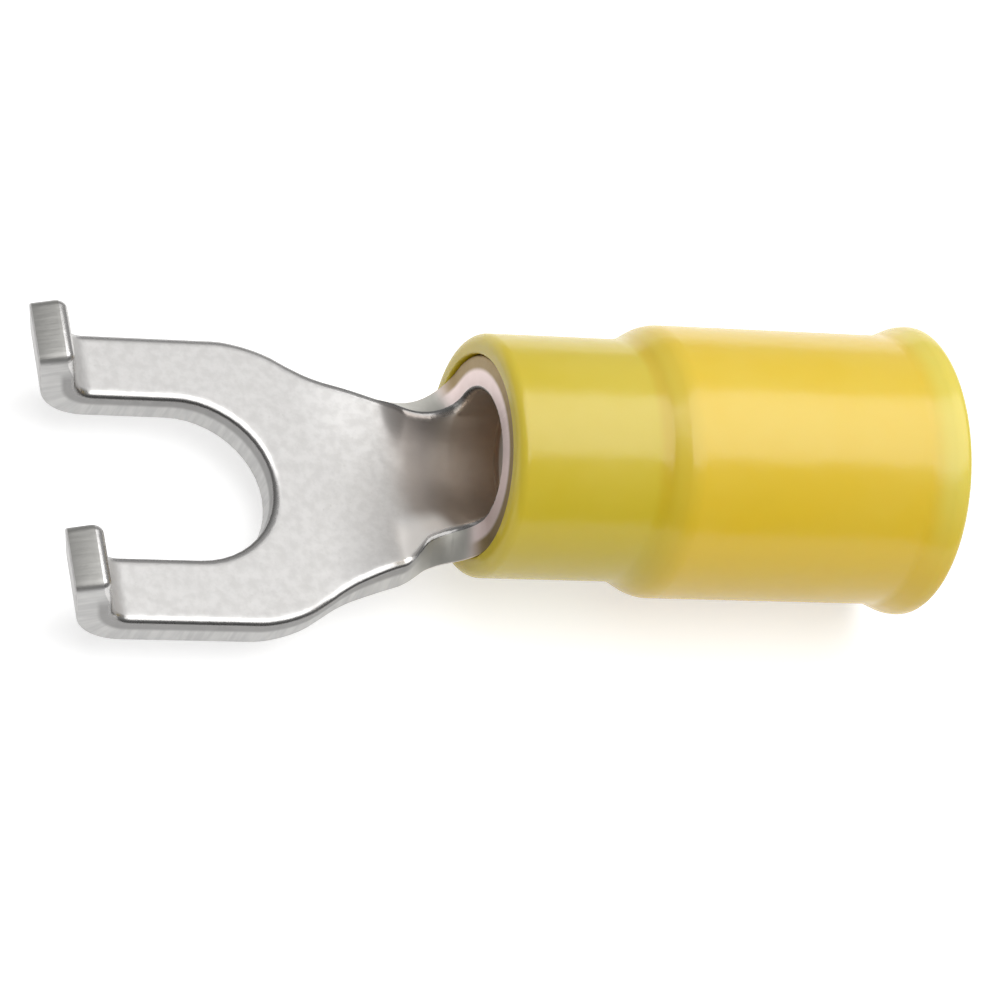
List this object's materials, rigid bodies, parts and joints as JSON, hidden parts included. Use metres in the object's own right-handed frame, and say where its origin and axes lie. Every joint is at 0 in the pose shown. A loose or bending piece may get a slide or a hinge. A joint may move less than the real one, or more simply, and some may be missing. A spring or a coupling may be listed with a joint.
{
  "type": "fork terminal",
  "caption": "Crimp fork terminal with turned-up tips, a rolled wire barrel and a stepped insulating sleeve with a beaded wire entry.",
  "frame": {"origin": "bottom centre of the bounding box, where the sleeve's bead touches the surface it lies on", "axes": "+X along the wire's axis from the fork's tips to the wire entry, +Y across the fork, +Z out of the tongue's upper face, the way the tips turn up"},
  "size_m": [0.0258, 0.009, 0.0082],
  "materials": {
    "tin_plated_copper": "satin",
    "yellow_vinyl": "satin"
  },
  "bodies": {
    "root": {"fork_and_barrel": "tin_plated_copper", "vinyl_sleeve": "yellow_vinyl"}
  },
  "joints": []
}
